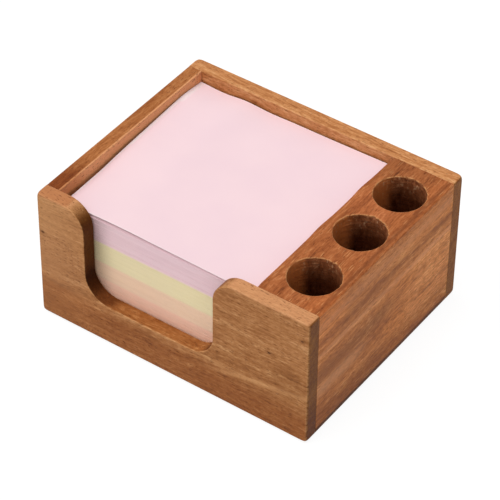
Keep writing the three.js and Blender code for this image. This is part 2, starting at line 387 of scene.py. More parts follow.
def acacia(name, grain, start, stops, figure=0.6, contrast=0.5, heart=(30, -70), ring=0.32, lean=(0, 0, 0),
           patches=(), end_shade=(0.42, 0.315, 0.125), pore_depth=0.85, knots=(), painted_shade=(), spots=(),
           chalk=0.0):
    """Oiled acacia. grain is the axis that the fibres follow, start moves the board to its own place in the
    trunk, figure and contrast weigh the streaks and the fibre, lean turns the grain a few degrees, patches
    are local changes of tone, spots are round ones, and the last list holds round places of painted shade in
    the notch, darkening the faces that don't face front or back. chalk is how far the long pores that
    sanding dust has filled stand out pale."""
    material, tree = blank_material(name)
    in_mm, facing = in_millimetres(tree)
    wood = grain_space(tree, in_mm, grain, start, lean)
    rings = ring_tone(tree, wood, heart, ring)
    coarse = noise_of(tree, wood, 1.0, 3.0, 0.55, (0.05, 0.75, 0.75))
    fibre = noise_of(tree, wood, 1.0, 4.0, 0.68, (0.16, 2.1, 2.1))
    mottle = noise_of(tree, wood, 1.0, 3.0, 0.55, (0.05, 0.16, 0.16))
    fleck = noise_of(tree, wood, 1.0, 2.0, 0.6, (0.45, 1.1, 1.1))
    tone = weigh(
        tree,
        [(rings, 2.2 * figure), (coarse, 1.3 * figure), (mottle, 1.5 * figure), (fibre, 2.4 * contrast),
         (fleck, 1.7 * contrast)],
    )
    colour = ramp(tree, tone, stops)
    for patch in patches:
        colour = band(tree, colour, in_mm, wood, patch)
    large = pores(tree, wood, (0.36, 1.9, 1.9), 0.34, 0.6)
    small = pores(tree, wood, (0.8, 3.0, 3.0), 0.38, 0.7)
    pore = sum_up(tree, "MAXIMUM", large, sum_up(tree, "MULTIPLY", small, 0.7))
    pore = sum_up(tree, "MULTIPLY", pore, fade(tree, mottle, 0.36, 0.6, 0.4, 1.0))
    colour = tint(tree, sum_up(tree, "MULTIPLY", pore, pore_depth), colour, PORE_TONE, "MULTIPLY")
    if chalk:
        filled = pores(tree, wood, (0.17, 2.3, 2.3), 0.4, 0.55)
        filled = sum_up(tree, "MULTIPLY", filled, fade(tree, mottle, 0.4, 0.58, 0.25, 1.0))
        colour = tint(tree, sum_up(tree, "MULTIPLY", filled, chalk), colour, stops[-1][1])
    for centre, size in knots:
        colour = knot(tree, colour, in_mm, centre, size)

    # Faces across the grain drink more oil and are darker; rounded edges are painted lighter, partly as
    # rubbed wear and partly as the highlight that a rounding catches
    ends = fade(tree, sum_up(tree, "ABSOLUTE", part_of(tree, facing, grain)), 0.45, 0.9)
    colour = tint(tree, ends, colour, (*end_shade, 1), "MULTIPLY")
    sawn = fade(tree, sum_up(tree, "ABSOLUTE", part_of(tree, facing, "Y")), 0.7, 0.3)
    # Round spots change the tone anywhere; the painted shade in the notch darkens only faces that don't face
    # front or back
    for places, faces in ((spots, 1.0), (painted_shade, sawn)):
        for centre, size, other in places:
            away = vector(tree, "DISTANCE", in_mm, centre)
            amount = sum_up(tree, "MULTIPLY", fade(tree, away, size, size * 0.55), faces)
            colour = tint(tree, amount, colour, (*other, 1), "MULTIPLY")
    rubbed_and_highlight = add(tree, "ShaderNodeAttribute", attribute_name="edge").outputs["Fac"]
    rubbed_and_highlight = sum_up(tree, "MULTIPLY", rubbed_and_highlight, fade(tree, fleck, 0.38, 0.6, 0.06, 0.32))
    colour = tint(tree, rubbed_and_highlight, colour, stops[-1][1])

    # Satin oil: pores and fibre break the shine, and stand in low relief
    gloss = sum_up(tree, "MULTIPLY_ADD", pore, 0.2, fade(tree, fibre, 0.2, 0.8, 0.44, 0.6))
    height = sum_up(tree, "MULTIPLY_ADD", pore, -0.9, sum_up(tree, "ADD", fibre, coarse))
    return surfaced(material, colour, gloss, height, relief=(0.5, 0.12), shine=0.09)


# %% [markdown]
# Every board comes from another plank, so each gets its own four tones, its own place in the trunk and its
# own marks. They were found by comparing small patches of the render with the same places in the
# photograph, one face after the other. A spot with numbers over 1 lightens the wood.


# %% The tones of each board
def tones(dark, low, high, pale):
    """Four colours of one board, from its darkest streak to its palest."""
    return [(0.05, shade(*dark)), (0.38, shade(*low)), (0.62, shade(*high)), (0.95, shade(*pale))]


FRONT_TONES = tones((117, 69, 32), (166, 108, 61), (186, 129, 80), (220, 168, 117))
BACK_TONES = tones((136, 78, 38), (184, 118, 68), (208, 144, 92), (234, 180, 126))
LEFT_TONES = tones((122, 68, 30), (176, 110, 62), (200, 134, 84), (226, 168, 118))
BLOCK_TONES = tones((113, 58, 24), (171, 102, 53), (199, 126, 70), (229, 166, 108))
BASE_TONES = tones((140, 88, 50), (178, 124, 76), (196, 142, 94), (220, 174, 126))
DOWEL_TONES = tones((186, 150, 108), (210, 176, 134), (222, 192, 152), (236, 212, 176))
RED = (0.77, 0.63, 0.51)
TOP_RED = (0.76, 0.64, 0.67)
PALE = shade(218, 162, 110)
# How dark the shade painted in the notch makes the wood
NOTCH_SHADE = (0.5, 0.42, 0.36)

front_wood = acacia(
    "acacia_front", "X", (13, 5, 8), FRONT_TONES, figure=0.26, contrast=0.42, heart=(46, -64),
    lean=(0, 2, 0),
    patches=[
        ((-0.19, 0, 1), 8.4, 11.8, 3.2, PALE, 0.62, "line", (1, 0, 0), 4, 22),
        ((1, 0, 0), -78, -24, 0.0, PALE, 0.42, "line"),
        ((-0.045, 0, -1), -18.5, -10.5, 5.0, RED, 1.0, "step"),
        ((0, 0, 1), 50.8, 51.6, 0.0, shade(234, 168, 120), 0.46, "paint"),
        ((-1, 0, 20), 1069, 1076, 0.0, (0.77, 0.65, 0.575), 1.0, "step"),
    ],
    knots=[((50.7, -44, 43.8), 0.42), ((38.5, -44, 32.2), 0.5), ((-51.4, -44, 36), 0.6)],
    spots=[
        ((34, -46, 8), 34, (0.93, 0.9, 0.85)), ((-52, -44, -3), 20, (0.84, 0.8, 0.76)),
        ((-47, -44, 25), 16, (0.88, 0.84, 0.83)), ((46, -44, 23), 9, (0.9, 0.88, 0.85)),
    ],
    # Painted shade in the notch: on its floor, on its left cheek and in its corners
    painted_shade=[
        ((-9, -41, -20), 66, (0.75, 0.62, 0.47)), ((-35, -41, 34), 19, NOTCH_SHADE),
        ((-30, -40, 21), 10, NOTCH_SHADE), ((16, -41, 19), 6, (0.9, 0.88, 0.86)),
    ],
)
back_wood = acacia(
    "acacia_back", "X", (160, 31, 12), BACK_TONES, figure=0.3, contrast=0.4, heart=(-52, -70),
    end_shade=(0.45, 0.37, 0.19),
    patches=[((0, -1, 0), -38.9, -38.65, 0.0, (0.96, 0.95, 0.95), 1.0, "step")],
)
left_wood = acacia(
    "acacia_left", "Y", (71, -40, 33), LEFT_TONES, figure=0.3, contrast=0.4, heart=(60, 52),
    patches=[
        ((0, 0, 1), 50.6, 51.0, 0.2, (0.82, 0.73, 0.61), 1.0, "step"),
        ((0.2, 1, 0), -18, -6, 6.0, (0.76, 0.66, 0.55), 0.45, "step"),
        ((0, -1, 0), 17, 33, 8.0, (0.62, 0.48, 0.36), 1.0, "step"),
        ((1, 0, 0), -48.6, -48.1, 0.0, shade(244, 176, 124), 0.75, "paint"),
    ],
    spots=[((-48, -40, 49), 16, (0.84, 0.74, 0.64))],
)
block_wood = acacia(
    "acacia_block", "Y", (220, 64, -25), BLOCK_TONES, figure=0.3, contrast=0.37, heart=(-66, 40),
    lean=(0, 10, 0), pore_depth=0.75, chalk=0.6,
    patches=[
        ((0, 0, 1), 42.5, 49.5, 3.0, shade(214, 150, 106), 0.35, "line"),
        ((0, 0, 1), 33.8, 43.8, 2.0, shade(128, 76, 44), 0.38, "line"),
        ((0, 0, 1), 31.8, 35.8, 2.0, shade(220, 156, 110), 0.4, "line"),
        ((0, 0, 1), 19.0, 31.0, 2.0, shade(112, 66, 38), 0.5, "line", (0, -1, 0), -14, 2),
        ((0, 0, 1), 14.0, 23.5, 2.0, shade(222, 160, 112), 0.5, "line", (0, -1, 0), 6, 22),
        ((0, 0, -1), -13.5, -8.5, 4.0, (0.72, 0.66, 0.58), 1.0, "step"),
        ((0, 0, 1), 50.8, 51.5, 0.5, TOP_RED, 0.95, "step"),
        ((1, 0, 0), 50.0, 53.2, 0.8, shade(104, 52, 24), 0.6, "line"),
        # A band of painted shade along the foot of the block
        ((0, 0, -1), -3.7, -2.6, 0.5, (0.28, 0.24, 0.23), 0.95, "step"),
    ],
    spots=[
        ((53, 30, 20), 40, (1.18, 1.19, 1.15)), ((54, 29, 19), 21, (1.1, 1.17, 1.32)),
        ((53, -34, 45), 13, (1.16, 1.12, 1.06)), ((38, 14, 52), 11, (1.13, 1.14, 1.22)),
        ((38, 36, 52), 13, (0.88, 0.91, 0.93)),
    ],
)
base_wood = acacia("acacia_base", "X", (330, 12, 40), BASE_TONES, figure=0.4, contrast=0.4, heart=(20, 80))
dowel_wood = acacia(
    "beech_dowel", "Y", (10, 90, 60), DOWEL_TONES, figure=0.2, contrast=0.3, end_shade=(0.8, 0.77, 0.72),
    pore_depth=0.25,
)
print("wood materials:", front_wood.name, back_wood.name, left_wood.name, block_wood.name, base_wood.name)

# %% [markdown]
# The wall of a drilled hole is rougher than a planed face. The drill leaves fine rings. Where it works
# against the fibres they tear into pale chips near the mouth, with small glints painted on them, and below
# them shade is painted on the wall, darker with depth. On the left, where it runs along with them, the wall
# stays smooth and pale, and is painted lighter again as the lit side. So the wall gets its own material.


# %% The drilled wood inside the bores
CHIPPED_DEPTH, CLEAN_DEPTH, SHADE_DEPTH = 4, 9, 11
SMOOTH_LIT_TONE, CHIP_GLINT_TONE, DEEP_SHADE_TONE = shade(226, 130, 66), shade(222, 172, 132), (0.23, 0.145, 0.08, 1)


def drilled(name):
    """Torn acacia with fine rings round the hole, painted shade deep down, a painted lit side and painted
    glints.
    """
    material, tree = blank_material(name)
    in_mm, facing = in_millimetres(tree)
    torn = noise_of(tree, in_mm, 1.0, 5.0, 0.65, (0.9, 0.9, 0.35))
    rings = noise_of(tree, in_mm, 1.0, 3.0, 0.6, (0.12, 0.12, 1.9))
    fibre = noise_of(tree, in_mm, 1.0, 3.0, 0.6, (2.4, 0.12, 2.4))
    tone = weigh(tree, [(torn, 1.3), (fibre, 0.7), (rings, 0.5)])
    stops = tones((86, 40, 16), (138, 76, 42), (168, 102, 62), (204, 146, 104))
    colour = ramp(tree, tone, stops)
    height = part_of(tree, in_mm, "Z")
    # The left wall, along the grain, is smooth pale side grain and is also painted lighter as the lit side
    lit_along_grain = fade(tree, part_of(tree, facing, "X"), 0.62, 1.0)
    colour = tint(tree, sum_up(tree, "MULTIPLY", lit_along_grain, 0.85), colour, SMOOTH_LIT_TONE)
    # Pale torn chips near the mouth, with glints painted on them
    glinting_chips = noise_of(tree, in_mm, 1.0, 3.0, 0.6, (0.9, 0.9, 0.55))
    near_top = fade(tree, height, WOOD_TOP - CLEAN_DEPTH, WOOD_TOP - CHIPPED_DEPTH)
    glinting_chips = sum_up(tree, "MULTIPLY", fade(tree, glinting_chips, 0.58, 0.68), near_top)
    colour = tint(tree, sum_up(tree, "MULTIPLY", glinting_chips, 0.7), colour, CHIP_GLINT_TONE)
    # Painted shade on the rest of the wall, darker with depth
    shaded_against_grain = fade(tree, lit_along_grain, 0.0, 1.0, 1.0, 0.0)
    deep = fade(tree, height, WOOD_TOP + 1, WOOD_TOP - SHADE_DEPTH)
    deep_shade = sum_up(tree, "MULTIPLY", shaded_against_grain, deep)
    colour = tint(tree, deep_shade, colour, DEEP_SHADE_TONE, "MULTIPLY")
    bumps = sum_up(tree, "MULTIPLY_ADD", rings, 0.7, torn)
    gloss = fade(tree, torn, 0.3, 0.7, 0.3, 0.6)
    return surfaced(material, colour, gloss, bumps, relief=(0.9, 0.5), shine=0.3)


bore_wood = drilled("acacia_drilled")
print("bore material:", bore_wood.name)

# %% [markdown]
# ## The boards
# Each board is sawn to an outline and its edges are eased with sandpaper. A cube with a Bevel modifier
# would do for a plain board, but the thumb notch has round shoulders and round lower corners that run into
# straight lines. So the outline is written as arcs that touch, each point with the direction that it faces,
# and the eased edge is laid out from that direction row by row. The same loft makes all four standing
# boards.


# %% Outlines with facing directions
WORN, CORNER_POINTS = 2.6, 4
CORNER, CORNER_STEPS = 0.7, 8
NOTCH_LEFT, NOTCH_RIGHT = left_high.x + 13.45, block_low.x - 13.45
NOTCH_FLOOR = WOOD_BOTTOM + 15.6
NOTCH_CORNER, NOTCH_SHOULDER = 9.4, 8.8


def arc(x, z, radius, start, end, steps, hollow=False):
    """Points of an arc as (x, z, facing x, facing z). On a hollow arc the wood faces the centre."""
    rows = []
    for step in range(steps + 1):
        angle = math.radians(start + (end - start) * step / steps)
        c, s = math.cos(angle), math.sin(angle)
        side = -1 if hollow else 1
        rows.append((x + radius * c, z + radius * s, side * c, side * s))
    return rows


def with_short_steps(outline):
    """The same outline with extra points near the ends of each long straight, so corners can be worn."""
    rows = []
    for (x, z, fx, fz), (x1, z1, *_) in zip(outline, outline[1:] + outline[:1]):
        rows.append((x, z, fx, fz))
        length = math.hypot(x1 - x, z1 - z)
        if length > 3 * WORN:
            marks = [WORN * k / CORNER_POINTS for k in range(1, CORNER_POINTS + 1)]
            for mark in marks + [length - m for m in reversed(marks)]:
                rows.append((x + (x1 - x) * mark / length, z + (z1 - z) * mark / length, fx, fz))
    return rows


def plain_outline(x0, x1, z0, z1, left, right, steps=CORNER_STEPS):
    """A rectangle with corners of radius left and right, anticlockwise seen from the front."""
    return with_short_steps(
        arc(x1 - right, z0 + right, right, -90, 0, steps)
        + arc(x1 - right, z1 - right, right, 0, 90, steps)
        + arc(x0 + left, z1 - left, left, 90, 180, steps)
        + arc(x0 + left, z0 + left, left, 180, 270, steps)
    )


def notched_outline(x0, x1, z0, z1, steps=40):
    """The front board's outline, with the thumb notch let into its top."""
    floor_z = NOTCH_FLOOR + NOTCH_CORNER
    shoulder_z = z1 - NOTCH_SHOULDER
    return with_short_steps(
        arc(x1 - CORNER, z0 + CORNER, CORNER, -90, 0, CORNER_STEPS)
        + arc(x1 - CORNER, z1 - CORNER, CORNER, 0, 90, CORNER_STEPS)
        + arc(NOTCH_RIGHT + NOTCH_SHOULDER, shoulder_z, NOTCH_SHOULDER, 90, 180, steps)
        + arc(NOTCH_RIGHT - NOTCH_CORNER, floor_z, NOTCH_CORNER, 0, -90, steps, hollow=True)
        + arc(NOTCH_LEFT + NOTCH_CORNER, floor_z, NOTCH_CORNER, -90, -180, steps, hollow=True)
        + arc(NOTCH_LEFT - NOTCH_SHOULDER, shoulder_z, NOTCH_SHOULDER, 0, 90, steps)
        + arc(x0 + CORNER, z1 - CORNER, CORNER, 90, 180, CORNER_STEPS)
        + arc(x0 + CORNER, z0 + CORNER, CORNER, 180, 270, CORNER_STEPS)
    )


# %% Lofting an outline into a board
OUTER_EASE, INNER_EASE, JOINT_EASE = 0.42, 0.3, 0.12
END_GROWTH = 1.8
TOP_WEAR, FOOT_WEAR = 0.06, 0.035


def new_piece(name, vertices, faces, material):
    """A mesh object at the origin, from points in millimetres."""
    mesh = bpy.data.meshes.new(name)
    mesh.from_pydata([Vector(v) * MM for v in vertices], [], faces)
    mesh.materials.append(material)
    return placed(name, mesh)


def mark_edges(piece, values):
    """Writes each vertex's share of edge, 0 to 1, which the materials paint lighter as wear and highlight.
    """
    attributes = piece.data.attributes
    if "edge" in attributes:
        attributes.remove(attributes["edge"])
    attributes.new("edge", "FLOAT", "POINT").data.foreach_set("value", values)


def worn(point, ends, outer_y):
    """Rubs a vertex back where it lies near one of the holder's eight outer corners."""
    x, y, z = point
    right, top = x > 0, z > (WOOD_BOTTOM + WOOD_TOP) / 2
    gaps = ends[1] - x if right else x - ends[0], abs(outer_y - y), WOOD_TOP - z if top else z - WOOD_BOTTOM
    push = max(0.0, WORN - sum(gaps)) ** 2 * (TOP_WEAR if top else FOOT_WEAR)
    inward = -1 if outer_y > 0 else 1
    return x - push if right else x + push, y + push * inward, z - push if top else z + push


def board(name, outline, y0, y1, front_ease, back_ease, material, steps=5, between=0):
    """A board that fills an outline from y0 to y1, its front and back edges eased to a quarter round, with
    some plain rows between them. An outer edge is rounder at the board's ends."""
    turns = [math.pi / 2 * step / steps for step in range(steps + 1)]
    rows = [(front_ease * (1 - math.sin(t)), y0, front_ease * (1 - math.cos(t)), t) for t in turns]
    plain = y1 - y0 - front_ease - back_ease
    for step in range(1, between + 1):
        rows.append((0.0, y0 + front_ease + plain * step / (between + 1), 0.0, 0.0))
    rows += [
        (back_ease * (1 - math.sin(t)), y1, -back_ease * (1 - math.cos(t)), t) for t in reversed(turns)
    ]
    count = len(outline)
    ends = min(point[0] for point in outline), max(point[0] for point in outline)
    outer_y = y0 if front_ease == OUTER_EASE else y1 if back_ease == OUTER_EASE else None
    vertices = []
    for inset, side, depth, _ in rows:
        for x, z, fx, fz in outline:
            near_end = min(x - ends[0], ends[1] - x) < CORNER
            grow = 1 + (END_GROWTH - 1) * fx * fx if side == outer_y and near_end else 1
            vertices.append((x - fx * inset * grow, side + depth * grow, z - fz * inset * grow))
    if outer_y is not None:
        vertices = [worn(v, ends, outer_y) for v in vertices]
    faces = [tuple(range(count)), tuple(reversed(range(len(vertices) - count, len(vertices))))]
    for row in range(len(rows) - 1):
        for k in range(count):
            a, b = row * count + k, row * count + (k + 1) % count
            faces.append((b, a, a + count, b + count))
    piece = new_piece(name, vertices, faces, material)
    mark_edges(piece, [math.sin(2 * turn) for _, _, _, turn in rows for _ in outline])
    return piece


# %% [markdown]
# The joints are glued and doweled blind. Sockets for the dowels and a rebate for the base board are cut
# with the Boolean modifier, which subtracts one mesh from another, as a drill and a router would. The
# result is kept as a plain mesh and the modifier goes.


# %% Cutting tools
def settle(piece, material=None):
    """Turns what the modifiers make into the piece's own plain mesh, in one material where one is given."""
    graph = bpy.context.evaluated_depsgraph_get()
    result = bpy.data.meshes.new_from_object(
        piece.evaluated_get(graph), preserve_all_data_layers=True, depsgraph=graph
    )
    old = piece.data
    piece.modifiers.clear()
    piece.data = result
    bpy.data.meshes.remove(old)
    if material:
        result.materials.clear()
        result.materials.append(material)
        result.polygons.foreach_set("material_index", [0] * len(result.polygons))
    return piece


def cut(piece, cutter):
    """Subtracts a cutter from a piece and throws the cutter away."""
    def places():
        return [tuple(round(c, 7) for c in vertex.co) for vertex in piece.data.vertices]

    edge = piece.data.attributes["edge"].data
    before = {place: item.value for place, item in zip(places(), edge)}
    saw = piece.modifiers.new("cut", "BOOLEAN")
    saw.operation = "DIFFERENCE"
    saw.solver = "EXACT"
    saw.material_mode = "TRANSFER"
    saw.object = cutter
    settle(piece)
    mark_edges(piece, [before.get(place, 0.0) for place in places()])
    bpy.data.objects.remove(cutter)
    return piece


def smooth(piece, angle=32):
    """Smooth shading that stays flat on large faces and sharp past an angle."""
    mesh = piece.data
    mesh.polygons.foreach_set("use_smooth", [True] * len(mesh.polygons))
    mesh.set_sharp_from_angle(angle=math.radians(angle))
    normals = piece.modifiers.new("normals", "WEIGHTED_NORMAL")
    normals.keep_sharp = True
    normals.weight = 100
    return settle(piece)


def cutter_from(shape):
    """A cutter with the shape that a bmesh holds."""
    mesh = bpy.data.meshes.new("cutter")
    shape.to_mesh(mesh)
    shape.free()
    return placed("cutter", mesh)


def rods(places, radius, length, sides=24):
    """A cutter of rods along Y, one at each place."""
    shape = bmesh.new()
    sizes = {"radius1": radius * MM, "radius2": radius * MM, "depth": length * MM, "segments": sides}
    for place in places:
        turn = Matrix.Translation(Vector(place) * MM) @ Matrix.Rotation(math.pi / 2, 4, "X")
        bmesh.ops.create_cone(shape, cap_ends=True, matrix=turn, **sizes)
    return cutter_from(shape)


def block_cutter(low, high):
    """A cutter in the shape of a box."""
    shape = bmesh.new()
    place = Matrix.Translation((low + high) / 2 * MM) @ Matrix.Diagonal((*(high - low) * MM, 1))
    bmesh.ops.create_cube(shape, size=1, matrix=place)
    return cutter_from(shape)


# %% Where the dowels go
SOCKET_GAP, REBATE_SPARE = 0.15, 2
dowel_boxes = [box_mm(node) for node in nodes_called("dowel_")]
dowel_places = [(low + high) / 2 for low, high in dowel_boxes]
dowel_size = dowel_boxes[0][1] - dowel_boxes[0][0]
dowel_length, dowel_radius = dowel_size.y, dowel_size.x / 2
print(len(dowel_places), "dowels of", round(2 * dowel_radius, 2), "by", round(dowel_length, 2), "mm")


def sockets(low, high):
    """A cutter for the dowels that reach into a board."""
    half = dowel_length / 2
    near = [
        place for place in dowel_places
        if low.x < place.x < high.x and low.y - half < place.y < high.y + half
    ]
    return rods(near, dowel_radius + SOCKET_GAP, dowel_length + 2 * SOCKET_GAP)


def rebate():
    """A cutter for the rebate that the base board lies in."""
    gap = Vector((SOCKET_GAP, SOCKET_GAP, 0))
    return block_cutter(base_low - gap - Vector((0, 0, REBATE_SPARE)), base_high + gap)


# %% [markdown]
# The front and back boards run the whole width. Their outer edges are eased a little along their length and
# more at their ends, and the outer corners, where hands rub them, are worn round. Their inner edges, which
# meet the side pieces, are only just broken. The side pieces stand a hair lower, as planed joints do after
# the glue has dried, and that step is what shows as a fine line at each corner.

# %% The four standing boards
STEP_DOWN = 0.1
INNER_CORNER = 0.3

front_board = board(
    "notched_front_board", notched_outline(front_low.x, front_high.x, WOOD_BOTTOM, WOOD_TOP),
    front_low.y, front_high.y, OUTER_EASE, INNER_EASE, front_wood, between=7,
)
back_board = board(
    "plain_back_board", plain_outline(back_low.x, back_high.x, WOOD_BOTTOM, WOOD_TOP, CORNER, CORNER),
    back_low.y, back_high.y, INNER_EASE, OUTER_EASE, back_wood, between=7,
)
left_board = board(
    "left_side_board",
    plain_outline(left_low.x, left_high.x, WOOD_BOTTOM, WOOD_TOP - STEP_DOWN, CORNER, INNER_CORNER),
    left_low.y, left_high.y, JOINT_EASE, JOINT_EASE, left_wood, steps=3,
)
for piece, low, high in (
    (front_board, front_low, front_high), (back_board, back_low, back_high),
    (left_board, left_low, left_high),
):
    cut(piece, rebate())
    cut(piece, sockets(low, high))
    smooth(piece)
    print(piece.name, len(piece.data.polygons), "faces")

# %% [markdown]
# ## The pen block and its three bores
# The pen block is one solid piece with three blind holes bored into it. A plain cylinder could cut them,
# but its wall would be too clean. So the cutter is a drill built from rings of points whose radius wanders a
# little from ring to ring. Near the mouth it tears further into the wood, most of all on the far
# side, where the fibres are cut end on, and at the very top it flares so that the rim is softly broken. The
# block's top edge beside the notes isn't straight either: it stands out a hair, and more at two places.

# %% The drill
BORE_RADIUS = 8.75
BORE_FLOOR = WOOD_BOTTOM + 10.8
BORE_X = (block_low.x + block_high.x) / 2
BORE_PLACES = [front_high.y + share * (back_low.y - front_high.y) for share in (0.183, 0.514, 0.813)]
RIM_EASE, FLOOR_EASE = 0.45, 0.3
COARSE_STEP, FINE_STEP, FINE_DEPTH = 0.9, 0.3, 3
FIRST_LEVEL, LEVEL_RISE, ABOVE_TOP = 0.02, 0.28, 1.5
RIDGE_PITCH, TEAR_DEPTH = 1.35, 1.6
RIDGE, ROUGHNESS, TEAR = 0.035, 0.05, 1.1


def drill(x, y, top, seed, sides=96):
    """Points and faces of one bore's cutter, from its floor up through the mouth."""
    levels = [BORE_FLOOR + FIRST_LEVEL]
    levels += [
        BORE_FLOOR + COARSE_STEP * k for k in range(1, int((top - BORE_FLOOR - FINE_DEPTH) / COARSE_STEP))
    ]
    fine = levels[-1]
    while fine < top - RIM_EASE - FINE_STEP:
        fine += FINE_STEP
        levels.append(fine)
    vertices, faces = [], []

    def ring(z, radius_at):
        for k in range(sides):
            angle = 2 * math.pi * k / sides
            radius = radius_at(angle)
            vertices.append((x + radius * math.cos(angle), y + radius * math.sin(angle), z))

    def wall(z):
        depth = top - z

        def radius_at(angle):
            c, s = math.cos(angle), math.sin(angle)
            ridge = RIDGE * math.sin(2 * math.pi * z / RIDGE_PITCH + angle)
            rough = ROUGHNESS * noise.noise(Vector((4 * c + seed, 4 * s, z * 0.8)))
            tear = noise.noise(Vector((7 * c, 7 * s + seed, z * 0.5)))
            mouth = math.exp(-depth / TEAR_DEPTH) * max(0.0, tear) * (0.25 + 0.75 * max(0.0, s) ** 2)
            return BORE_RADIUS + ridge + rough + TEAR * mouth
        return radius_at

    ring(BORE_FLOOR, lambda angle: BORE_RADIUS - FLOOR_EASE)
    for z in levels:
        ring(z + LEVEL_RISE, wall(z + LEVEL_RISE))
    last = wall(top - RIM_EASE)
    for step in range(1, 5):
        turn = math.pi / 2 * step / 4
        grow, up = RIM_EASE * (1 - math.cos(turn)), RIM_EASE * math.sin(turn)
        ring(top - RIM_EASE + up, lambda angle: last(angle) + grow)
    ring(top + ABOVE_TOP, lambda angle: last(angle) + RIM_EASE + 0.1)
    rings_made = len(vertices) // sides
    for row in range(rings_made - 1):
        for k in range(sides):
            a, b = row * sides + k, row * sides + (k + 1) % sides
            faces.append((a, b, b + sides, a + sides))
    faces.append(tuple(reversed(range(sides))))
    faces.append(tuple(range(len(vertices) - sides, len(vertices))))
    return vertices, faces


# %% The bored block
BORE_RIM_HIGHLIGHT, NEAR_RIM = 2.4, 0.6
BULGES, BULGE_WIDTH = (20, -4), 5
OVERHANG, BULGE = 0.16, 0.36
block_top = WOOD_TOP - STEP_DOWN
pen_block = board(
    "bored_pen_block",
    plain_outline(block_low.x, block_high.x, WOOD_BOTTOM, block_top, INNER_CORNER, CORNER),
    block_low.y, block_high.y, JOINT_EASE, JOINT_EASE, block_wood, steps=3, between=40,
)
for vertex in pen_block.data.vertices:
    x, y, z = vertex.co / MM
    if x < block_low.x + 1 and z > block_top - 1 and abs(y) < block_high.y - 1:
        bulges = sum(math.exp(-((y - place) / BULGE_WIDTH) ** 2) for place in BULGES)
        vertex.co.x -= (OVERHANG + BULGE * bulges) * MM
cut(pen_block, rebate())
cut(pen_block, sockets(block_low, block_high))
for number, y in enumerate(BORE_PLACES):
    points, faces = drill(BORE_X, y, block_top, seed=11.0 * number + 3)
    cut(pen_block, new_piece("drill", points, faces, bore_wood))
mesh = pen_block.data
edge = mesh.attributes["edge"].data
# A highlight is painted round the rounded rim of each bore, through the edge share
for vertex in mesh.vertices:
    x, y, z = vertex.co / MM
    reach = min(math.hypot(x - BORE_X, y - place) for place in BORE_PLACES)
    if z > block_top - RIM_EASE - 0.02 and reach < BORE_RADIUS + RIM_EASE + NEAR_RIM:
        rise = (z - block_top + RIM_EASE) / RIM_EASE
        edge[vertex.index].value = BORE_RIM_HIGHLIGHT * math.sin(math.pi * min(1.0, max(0.0, rise)))
for polygon in mesh.polygons:
    if polygon.center.z / MM > block_top - RIM_EASE:
        polygon.material_index = 0
smooth(pen_block, angle=40)
print(pen_block.name, len(pen_block.data.polygons), "faces, bores at", [round(y, 2) for y in BORE_PLACES])

# %% [markdown]
# ## Small repeats: dowels and feet
# The twelve dowels are alike, and so are the four feet. One is made and a small Geometry Nodes tree
# sets a copy on every point of a mesh that has points and nothing else. Each copy is turned by a seeded
# random angle, so the grain and the flutes don't line up. The tree ends by making the copies real. How such
# a tree is opened, closed and run is the same each time, so three helpers do it, here and for the leaves of
# paper later.


# %% Opening, closing and running a tree
def open_tree(name, inputs):
    """An empty Geometry Nodes tree with named inputs. Returns it, its inputs' sockets and identifiers."""
    tree = bpy.data.node_groups.new(name, "GeometryNodeTree")
    known = {}
    for title, kind in {"Geometry": "Geometry", **inputs, "Finish": "Material"}.items():
        socket = tree.interface.new_socket(title, in_out="INPUT", socket_type="NodeSocket" + kind)
        known[title] = socket.identifier
    tree.interface.new_socket("Geometry", in_out="OUTPUT", socket_type="NodeSocketGeometry")
    return tree, add(tree, "NodeGroupInput").outputs, known


def close_tree(tree, given, points, instance, **inputs):
    """Ends a tree: an instance on each point, made real and given its finish."""
    copied = add(tree, "GeometryNodeInstanceOnPoints", {"Points": points, "Instance": instance, **inputs})
    real = add(tree, "GeometryNodeRealizeInstances", {"Geometry": copied.outputs[0]}).outputs[0]
    finished = add(tree, "GeometryNodeSetMaterial", {"Geometry": real, "Material": given["Finish"]})
    add(tree, "NodeGroupOutput", {0: finished.outputs[0]})


def run_tree(piece, tree, known, settings, material):
    """Runs a tree on a piece with its inputs set, and keeps the result as the piece's plain mesh."""
    modifier = piece.modifiers.new(tree.name, "NODES")
    modifier.node_group = tree
    for title, value in {**settings, "Finish": material}.items():
        modifier[known[title]] = value
    return settle(piece, material)


# %% A tree that sets copies on points
def copies_tree():
    """Geometry Nodes tree that sets an item on each point, turned at random up to a largest turn."""
    inputs = {"Item": "Object", "Largest Turn": "Vector", "Turn Seed": "Int"}
    tree, given, known = open_tree("copies_on_points", inputs)
    shape = add(tree, "GeometryNodeObjectInfo", {"Object": given["Item"]}).outputs["Geometry"]
    limits = {0: (0, 0, 0), 1: given["Largest Turn"], "Seed": given["Turn Seed"]}
    turn = add(tree, "FunctionNodeRandomValue", limits, data_type="FLOAT_VECTOR").outputs[0]
    close_tree(tree, given, given["Geometry"], shape, Rotation=turn)
    return tree, known


COPIES, COPIES_INPUTS = copies_tree()
print("copies inputs:", list(COPIES_INPUTS))


def set_copies(name, places, item, material, largest_turn, seed):
    """One plain mesh with a copy of item at each place, in millimetres."""
    piece = new_piece(name, places, [], material)
    settings = {"Item": item, "Largest Turn": Vector(largest_turn), "Turn Seed": seed}
    run_tree(piece, COPIES, COPIES_INPUTS, settings, material)
    bpy.data.objects.remove(item)
    return piece


